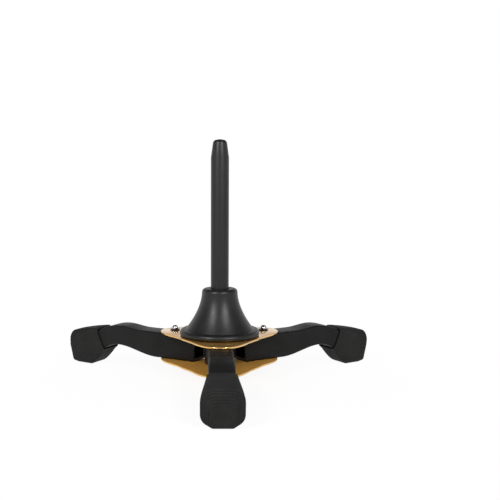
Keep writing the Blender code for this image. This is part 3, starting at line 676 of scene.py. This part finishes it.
def make_boot(side):
    """A rubber boot with a leaning mouth and a terraced toe, cut to take the leg's end."""
    radii = []
    for start, end in ((BOOT_HEEL_RADIUS, BOOT_MOUTH_RADIUS), (BOOT_MOUTH_RADIUS, BOOT_TOE_RADIUS)):
        count = round((end - start) / BOOT_STATION_SPACING)
        radii += [start + (end - start) * step / count for step in range(count)]
    loops = [boot_loop(radius, 0.0) for radius in radii]
    nose_share = BOOT_TERRACE_NOSE / BOOT_TOP_INSET
    for terrace in range(BOOT_TERRACES):
        edge = BOOT_TOE_RADIUS + terrace * BOOT_TERRACE_DEPTH
        foot = edge + BOOT_TERRACE_SLANT
        loops.append(boot_loop(edge - BOOT_TERRACE_NOSE, terrace))
        loops.append(boot_loop(edge, terrace + nose_share))
        loops.append(boot_loop(foot - BOOT_TERRACE_NOSE / 2, terrace + 1.0 - nose_share))
        loops.append(boot_loop(foot + BOOT_TERRACE_NOSE / 2, terrace + 1.0))
    loops.append(boot_loop(BOOT_TOE_RADIUS + BOOT_TERRACES * BOOT_TERRACE_DEPTH, BOOT_TERRACES))
    boot = new_object(f"{side}_boot", skin("boot", loops), at_leg(side))
    socket_loops = leg_loops(LEG_CORE_RADIUS, LEG_END_RADIUS + FIT, FIT)
    gap_loops = leg_loops(LEG_CORE_RADIUS, BOOT_MOUTH_RADIUS + BOOT_MOUTH_GAP_DEPTH, BOOT_MOUTH_GAP)
    sockets = []
    for hollow in (socket_loops, gap_loops):
        sockets.append(new_object("boot_socket", skin("boot_socket", hollow), at_leg(side)))
    cut(boot, sockets)
    return dress(boot, LEG_BODIES[side], f"{side}_foot", "black_rubber", crease=30.0)


def plate_loop(height, inset):
    """The plates' outline, with one round lobe for each leg, drawn in by an inset."""
    points = []
    for index in range(PLATE_OUTLINE_POINTS):
        angle = 2.0 * math.pi * index / PLATE_OUTLINE_POINTS
        turn = angle - LEG_ANGLES["front"]
        in_front = math.cos(turn) > math.cos(math.pi / len(LEG_ANGLES))
        tip = PLATE_FRONT_RADIUS if in_front else PLATE_SIDE_RADIUS
        lobe = (0.5 + 0.5 * math.cos(3.0 * turn)) ** PLATE_LOBE_POWER
        radius = PLATE_VALLEY_RADIUS + (tip - PLATE_VALLEY_RADIUS) * lobe - inset
        points.append((radius * math.cos(angle), radius * math.sin(angle), height))
    return points


def make_plate(name, low, high, holes, finish=None):
    """A plate with rounded edges, drilled at (place, radius) holes."""
    loops = []
    for edge, direction in ((low, 1.0), (high, -1.0)):
        rounding = []
        for step in range(PLATE_EDGE_STEPS + 1):
            angle = math.radians(90.0 * step / PLATE_EDGE_STEPS)
            inset = PLATE_EDGE_ROUND * (1.0 - math.sin(angle))
            rise = PLATE_EDGE_ROUND * (1.0 - math.cos(angle))
            rounding.append(plate_loop(edge + direction * rise, inset))
        loops += rounding if direction > 0.0 else rounding[::-1]
    plate = new_object(f"{name}_polished", skin(name, loops), Matrix.Translation(AXIS))
    drills = []
    for place, radius in holes:
        drills.append(new_object("drill", column(radius, low - FIT, high + FIT), place))
    cut(plate, drills)
    return dress(plate, "base", name, "gold_plate", finish=finish)


def make_peg():
    """The peg: a plain rod with a tapered, crowned tip and a blind hole for its stud."""
    stud_low, stud_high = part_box("peg_stud")
    hole_radius = (stud_high.x - stud_low.x) / 2 + FIT
    hole_top = stud_high.z + FIT
    shoulder = peg_high.z - PEG_TIP_CROWN
    crown = PEG_TIP_RADIUS - PEG_TIP_ROUND
    profile = [(0.0, peg_high.z), (crown / 2, peg_high.z - PEG_TIP_CROWN / 4)]
    profile += arc(crown, shoulder - PEG_TIP_ROUND, PEG_TIP_ROUND, 85.0, 8.0)
    profile.append((PEG_RADIUS, peg_high.z - PEG_TAPER))
    profile.append((PEG_RADIUS, peg_low.z + PEG_END_CHAMFER))
    profile.append((PEG_RADIUS - PEG_END_CHAMFER, peg_low.z))
    profile += [(hole_radius, peg_low.z), (hole_radius, hole_top), (0.0, hole_top)]
    peg = new_object("peg_rod", turned("peg_rod", profile, TURN_STEPS), Matrix.Translation(AXIS))
    return dress(peg, "peg", "peg", "black_plastic")


def make_stud():
    """The stud of the peg, with its screw thread."""
    low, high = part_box("peg_stud")
    radius = (high.x - low.x) / 2
    rings = round((high.z - low.z) / STUD_PITCH * STUD_RINGS_PER_PITCH)
    loops = []
    for ring in range(rings + 1):
        height = low.z + (high.z - low.z) * ring / rings
        end_run = min(height - low.z, high.z - height)
        limit = radius - max(STUD_PITCH - end_run, 0.0)
        loop = []
        for step in range(STUD_STEPS):
            turn = step / STUD_STEPS
            phase = (height / STUD_PITCH - turn) % 1.0
            thread = radius - STUD_THREAD_DEPTH * abs(2.0 * phase - 1.0)
            reach = min(thread, limit)
            angle = 2.0 * math.pi * turn
            loop.append((reach * math.cos(angle), reach * math.sin(angle), height))
        loops.append(loop)
    stud = new_object("peg_stud_thread", skin("peg_stud_thread", loops), Matrix.Translation(AXIS))
    return dress(stud, "peg", "peg_stud", "bright_steel", crease=60.0)


def flare_radius(height):
    """Outer radius of the hub's flare at a height above its base."""
    top = HUB_HEIGHT - COLLAR_ROUND
    part = (top - height) / (top - RIM_THICKNESS)
    return COLLAR_RADIUS + (FLARE_RADIUS - COLLAR_RADIUS) * part ** FLARE_POWER


def make_hub():
    """The hub: a turned bell with a rounded collar and rim, a hollow skirt, a boss and ribs."""
    socket_radius = PEG_RADIUS + FIT
    socket_floor = HUB_HEIGHT - SOCKET_DEPTH
    flare_top = HUB_HEIGHT - COLLAR_ROUND
    mouth = HUB_HEIGHT - SOCKET_CHAMFER
    profile = [(socket_radius, mouth)]
    profile += arc(socket_radius + SOCKET_CHAMFER, mouth, SOCKET_CHAMFER, 180.0, 90.0)[1:]
    profile += arc(COLLAR_RADIUS - COLLAR_ROUND, flare_top, COLLAR_ROUND, 90.0, 0.0)
    for step in range(1, HUB_FLARE_STEPS + 1):
        height = flare_top + (RIM_THICKNESS - flare_top) * step / HUB_FLARE_STEPS
        profile.append((flare_radius(height), height))
    profile += arc(RIM_RADIUS - RIM_ROUND, RIM_THICKNESS - RIM_ROUND, RIM_ROUND, 80.0, 0.0)
    profile += arc(RIM_RADIUS - RIM_FOOT_ROUND, RIM_FOOT_ROUND, RIM_FOOT_ROUND, -10.0, -90.0)
    profile.append((RIM_RADIUS - RIM_ROUND - HUB_WALL, 0.0))
    for step in range(HUB_CAVITY_STEPS + 1):
        height = RIM_THICKNESS + (HUB_CAVITY_HEIGHT - RIM_THICKNESS) * step / HUB_CAVITY_STEPS
        profile.append((flare_radius(height) - HUB_WALL, height))
    profile += [(BOSS_RADIUS, HUB_CAVITY_HEIGHT), (BOSS_RADIUS, 0.0), (BUSH_HOLE_RADIUS, 0.0)]
    profile += [(BUSH_HOLE_RADIUS, socket_floor), (socket_radius, socket_floor)]
    place = Matrix.Translation(AXIS + Vector((0.0, 0.0, HUB_BASE)))
    hub = new_object("hub_bell", turned("hub_bell", profile, TURN_STEPS), place)
    start = (BOSS_RADIUS + BUSH_HOLE_RADIUS) / 2
    half = HUB_RIB_THICKNESS / 2
    loops = []
    for height in (FIT, RIM_THICKNESS, HUB_CAVITY_HEIGHT / 2, HUB_CAVITY_HEIGHT + HUB_WALL / 2):
        end = flare_radius(max(height, RIM_THICKNESS)) - HUB_WALL / 2
        outline = ((start, -half), (end, -half), (end, half), (start, half))
        loops.append([(x, y, height) for x, y in outline])
    ribs = []
    for number in range(HUB_RIB_COUNT):
        turn = Matrix.Rotation(2.0 * math.pi * number / HUB_RIB_COUNT, 4, "Z")
        ribs.append(new_object(f"hub_rib_{number}", skin("hub_rib", loops), place @ turn))
    cut(hub, ribs, "UNION")
    return dress(hub, "base", "hub", "black_plastic")


def make_core():
    """The black core between the plates: a skirt and a boss under one roof."""
    low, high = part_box("centre_spacer")
    radius = (high.x - low.x) / 2
    roof = high.z - CORE_WALL
    boss = CENTRE_HOLE_RADIUS + CORE_WALL
    profile = [(CENTRE_HOLE_RADIUS, high.z), (radius - CORE_EDGE, high.z)]
    profile += [(radius, high.z - CORE_EDGE), (radius, low.z)]
    profile += [(radius - CORE_WALL, low.z), (radius - CORE_WALL, roof)]
    profile += [(boss, roof), (boss, low.z), (CENTRE_HOLE_RADIUS, low.z)]
    core_mesh = turned("core_moulding", profile, TURN_STEPS)
    core = new_object("core_moulding", core_mesh, Matrix.Translation(AXIS))
    return dress(core, "base", "centre_spacer", "black_plastic")


def middle_of(node):
    """The upright line through the middle of a node, as a place."""
    low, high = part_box(node)
    return Matrix.Translation(((low.x + high.x) / 2, (low.y + high.y) / 2, 0.0))


def make_nut(node):
    """A domed nut with a plain skirt and a blind bore."""
    low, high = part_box(node)
    radius = (high.x - low.x) / 2
    dome_base = low.z + NUT_SKIRT
    dome = high.z - dome_base
    profile = [(0.0, high.z)]
    for step in range(1, 2 * ARC_STEPS + 1):
        angle = math.radians(90.0 - 90.0 * step / (2 * ARC_STEPS))
        profile.append((radius * math.cos(angle), dome_base + dome * math.sin(angle)))
    profile += [(radius, low.z + NUT_EDGE), (radius - NUT_EDGE, low.z), (NUT_BORE, low.z)]
    profile += [(NUT_BORE, high.z - NUT_ROOF), (0.0, high.z - NUT_ROOF)]
    nut = new_object(f"{node}_cap", turned(node, profile, SMALL_STEPS), middle_of(node))
    return dress(nut, "base", node, "bright_steel")


def make_washer(node, bore):
    """A flat washer with softened rims."""
    low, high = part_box(node)
    radius = (high.x - low.x) / 2
    profile = [
        (bore, high.z),
        (radius - WASHER_EDGE, high.z),
        (radius, high.z - WASHER_EDGE),
        (radius, low.z + WASHER_EDGE),
        (radius - WASHER_EDGE, low.z),
        (bore, low.z),
    ]
    washer = new_object(f"{node}_ring", turned(node, profile, SMALL_STEPS), middle_of(node))
    return dress(washer, "base", node, "dark_steel")


def make_bolt(node, shank_radius, head_height, recess):
    """A bolt that points up, with a low domed head and a driving recess from below."""
    low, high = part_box(node)
    head_radius = (high.x - low.x) / 2
    seat = low.z + head_height
    chamfer = shank_radius / 4
    profile = [(0.0, high.z), (shank_radius - chamfer, high.z), (shank_radius, high.z - chamfer)]
    profile += [(shank_radius, seat), (head_radius, seat)]
    for step in range(ARC_STEPS):
        angle = math.radians(HEAD_DOME_TURN * step / (ARC_STEPS - 1))
        drop = head_height * (HEAD_SIDE_SHARE + (1.0 - HEAD_SIDE_SHARE) * math.sin(angle))
        profile.append((head_radius * math.cos(angle), seat - drop))
    profile.append((0.0, low.z))
    bolt = new_object(f"{node}_turned", turned(node, profile, SMALL_STEPS), middle_of(node))
    cut(bolt, recess(node, low.z))
    return dress(bolt, "base", node, "bright_steel")


def hexagon(radius, depth):
    """A maker of hexagon sockets of this size."""
    def recess(node, low):
        return [new_object("hexagon", column(radius, low - FIT, low + depth, 6), middle_of(node))]
    return recess


def cross(node, low):
    """The two crossing slots of a screw's recess."""
    slots = []
    for turn in (0.0, math.pi / 2):
        half = Vector((CROSS_LENGTH / 2, CROSS_WIDTH / 2, 0.0))
        loops = []
        for height, share in ((low - FIT, 1.0), (low + CROSS_DEPTH, CROSS_TAPER)):
            signs = ((-1, -1), (1, -1), (1, 1), (-1, 1))
            loops.append([(x * half.x * share, y * half.y, height) for x, y in signs])
        place = middle_of(node) @ Matrix.Rotation(turn, 4, "Z")
        slots.append(new_object("slot", skin("slot", loops), place))
    return slots


def finish_nodes():
    """Give every node that still shows its slot's finish."""
    for row in frame["record"]["subparts"]:
        mesh = frame["nodes"][row["node"]].data
        mesh.materials.clear()
        mesh.materials.append(FINISHES[row["material_slot"]])


def seen_directly(tree):
    """1 for rays from the camera, in reflections and through glass, else 0."""
    path = tree.nodes.new("ShaderNodeLightPath")
    result = path.outputs["Is Camera Ray"]
    for kind in ("Is Glossy Ray", "Is Transmission Ray"):
        either = tree.nodes.new("ShaderNodeMath")
        either.operation = "MAXIMUM"
        tree.links.new(result, either.inputs[0])
        tree.links.new(path.outputs[kind], either.inputs[1])
        result = either.outputs["Value"]
    return result


def make_floor():
    """A white floor that keeps a faint shadow near the stand, and fades into the white surround."""
    nodes = Nodes("pale_floor")
    tree = nodes.tree
    paler = [value * FLOOR_SPECKLE for value in FLOOR_COLOUR]
    speckle = nodes.colours(nodes.noise(30.0), FLOOR_COLOUR, paler)
    nodes.link(speckle, nodes.shader.inputs["Base Color"])
    nodes.shader.inputs["Roughness"].default_value = FLOOR_ROUGHNESS
    nodes.shader.inputs["Specular IOR Level"].default_value = 0.0
    reach = tree.nodes.new("ShaderNodeVectorMath")
    reach.operation = "LENGTH"
    nodes.link(nodes.place, reach.inputs[0])
    plain = nodes.spread(
        reach.outputs["Value"], 1.0 - FLOOR_SHADOW_SHARE, 1.0, FLOOR_SHADOW_NEAR, FLOOR_SHADOW_FAR
    )
    share = tree.nodes.new("ShaderNodeMath")
    share.operation = "MULTIPLY"
    nodes.link(seen_directly(tree), share.inputs[0])
    nodes.link(plain, share.inputs[1])
    white = tree.nodes.new("ShaderNodeEmission")
    mix = tree.nodes.new("ShaderNodeMixShader")
    nodes.link(share.outputs["Value"], mix.inputs["Fac"])
    nodes.link(nodes.shader.outputs["BSDF"], mix.inputs[1])
    nodes.link(white.outputs["Emission"], mix.inputs[2])
    nodes.link(mix.outputs["Shader"], tree.nodes["Material Output"].inputs["Surface"])
    half = FLOOR_SIZE / 2
    signs = ((-1, -1), (1, -1), (1, 1), (-1, 1))
    corners = [(x * half, y * half, FLOOR_LEVEL) for x, y in signs]
    mesh = bpy.data.meshes.new("floor")
    mesh.from_pydata(corners, [], [(0, 1, 2, 3)])
    mesh.materials.append(nodes.material)
    new_object("floor", mesh)


def make_world():
    """A white surround, a plain fill, and reflections of a white room with a dim ceiling."""
    world = bpy.data.worlds.new("studio")
    bpy.context.scene.world = world
    world.use_nodes = True
    tree = world.node_tree
    white = tree.nodes["Background"]
    white.inputs["Color"].default_value = (1.0, 1.0, 1.0, 1.0)
    fill = tree.nodes.new("ShaderNodeBackground")
    fill.inputs["Strength"].default_value = WORLD_FILL
    mix = tree.nodes.new("ShaderNodeMixShader")
    tree.links.new(seen_directly(tree), mix.inputs["Fac"])
    tree.links.new(fill.outputs["Background"], mix.inputs[1])
    tree.links.new(white.outputs["Background"], mix.inputs[2])
    tree.links.new(mix.outputs["Shader"], tree.nodes["World Output"].inputs["Surface"])
    direction = tree.nodes.new("ShaderNodeSeparateXYZ")
    place = tree.nodes.new("ShaderNodeTexCoord")
    tree.links.new(place.outputs["Generated"], direction.inputs["Vector"])
    ceiling = tree.nodes.new("ShaderNodeMapRange")
    ceiling.inputs["From Min"].default_value = CEILING_FADE_START
    ceiling.inputs["From Max"].default_value = CEILING_FADE_END
    ceiling.inputs["To Min"].default_value = 1.0
    ceiling.inputs["To Max"].default_value = CEILING_LEVEL
    tree.links.new(direction.outputs["Z"], ceiling.inputs["Value"])
    level = tree.nodes.new("ShaderNodeMath")
    level.operation = "MAXIMUM"
    tree.links.new(ceiling.outputs["Result"], level.inputs[0])
    tree.links.new(tree.nodes["Light Path"].outputs["Is Camera Ray"], level.inputs[1])
    tree.links.new(level.outputs["Value"], white.inputs["Strength"])


def make_lamp(name, azimuth, elevation, distance, size, power):
    """A soft lamp aimed at the hub. Azimuth is counted from the camera's side, to the right."""
    lamp = bpy.data.lights.new(name, "AREA")
    lamp.shape = "RECTANGLE"
    lamp.size, lamp.size_y = size
    lamp.energy = power
    aim = AXIS + Vector((0.0, 0.0, HUB_BASE))
    turn = math.radians(azimuth)
    lift = math.radians(elevation)
    level = math.cos(lift)
    away = Vector((math.sin(turn) * level, -math.cos(turn) * level, math.sin(lift)))
    placed = bpy.data.objects.new(name, lamp)
    placed.location = aim + distance * away
    placed.rotation_euler = (-away).to_track_quat("-Z", "Y").to_euler()
    bpy.context.scene.collection.objects.link(placed)


def make_camera():
    """The photograph's camera."""
    camera = bpy.data.cameras.new("camera")
    camera.lens = CAMERA_LENS
    camera.shift_x = CAMERA_SHIFT
    camera.clip_start = 10.0 * MM
    placed = bpy.data.objects.new("camera", camera)
    placed.location = AXIS + Vector((CAMERA_SIDE, -CAMERA_DISTANCE, CAMERA_HEIGHT))
    placed.rotation_euler = (math.pi / 2 - CAMERA_PITCH, 0.0, 0.0)
    bpy.context.scene.collection.objects.link(placed)
    bpy.context.scene.camera = placed


finish_nodes()
make_peg()
make_stud()
make_hub()
make_core()

centre_hole = (Matrix.Translation(AXIS), CENTRE_HOLE_RADIUS)
pivot_holes = [(at_leg(side, PIVOT_RADIUS), PIVOT_PIN_HOLE_RADIUS) for side in SIDES]
screw_holes = [(at_leg("front", radius), FRONT_SCREW_HOLE_RADIUS) for radius in FRONT_SCREW_RADII]
make_plate("top_plate", top_low.z, top_high.z, [centre_hole, *pivot_holes])
lower_holes = [centre_hole, *pivot_holes, *screw_holes]
make_plate("bottom_plate", bottom_low.z, bottom_high.z, lower_holes, LOWER_PLATE_FINISH)

screw_hole = (FRONT_SCREW_HOLE_RADIUS, PLATE_GAP_LOW, PLATE_GAP_LOW + FRONT_SCREW_HOLE_DEPTH)
make_leg("front", [(radius, FRONT_BOSS_RADIUS, [screw_hole]) for radius in FRONT_SCREW_RADII])
pivot_cuts = [
    (PIVOT_HOLE_RADIUS, PLATE_GAP_LOW, PLATE_GAP_HIGH),
    (PIVOT_RECESS_RADIUS, PLATE_GAP_LOW, LEG_ROOT_LOW + PIVOT_RECESS_DEPTH),
    (PIVOT_RECESS_RADIUS, LEG_ROOT_HIGH - PIVOT_RECESS_DEPTH, PLATE_GAP_HIGH),
]
for side in SIDES:
    make_leg(side, [(PIVOT_RADIUS, PIVOT_BOSS_RADIUS, pivot_cuts)])
for side in LEG_ANGLES:
    make_boot(side)

pivot_key = hexagon(PIVOT_KEY_RADIUS, PIVOT_KEY_DEPTH)
centre_key = hexagon(CENTRE_KEY_RADIUS, CENTRE_KEY_DEPTH)
for side in SIDES:
    make_nut(f"{side}_dome_nut")
    make_washer(f"{side}_nut_washer", PIVOT_PIN_HOLE_RADIUS)
    make_washer(f"{side}_bolt_washer", PIVOT_PIN_HOLE_RADIUS)
    make_bolt(f"{side}_pivot_bolt", PIVOT_BOLT_RADIUS, PIVOT_HEAD_HEIGHT, pivot_key)
make_washer("centre_washer", CENTRE_HOLE_RADIUS)
make_bolt("centre_bolt", CENTRE_BOLT_RADIUS, CENTRE_HEAD_HEIGHT, centre_key)
for place in ("inner", "outer"):
    make_bolt(f"front_leg_screw_{place}", FRONT_SCREW_RADIUS, FRONT_SCREW_HEAD_HEIGHT, cross)

make_floor()
make_world()
for side, azimuth in SOFTBOX_AZIMUTHS.items():
    name = f"{side}_softbox"
    make_lamp(name, azimuth, SOFTBOX_ELEVATION, SOFTBOX_DISTANCE, SOFTBOX_SIZE, SOFTBOX_POWER)
make_lamp("overhead", 0.0, OVERHEAD_ELEVATION, OVERHEAD_DISTANCE, OVERHEAD_SIZE, OVERHEAD_POWER)
make_camera()
bpy.context.scene.view_settings.view_transform = "Standard"
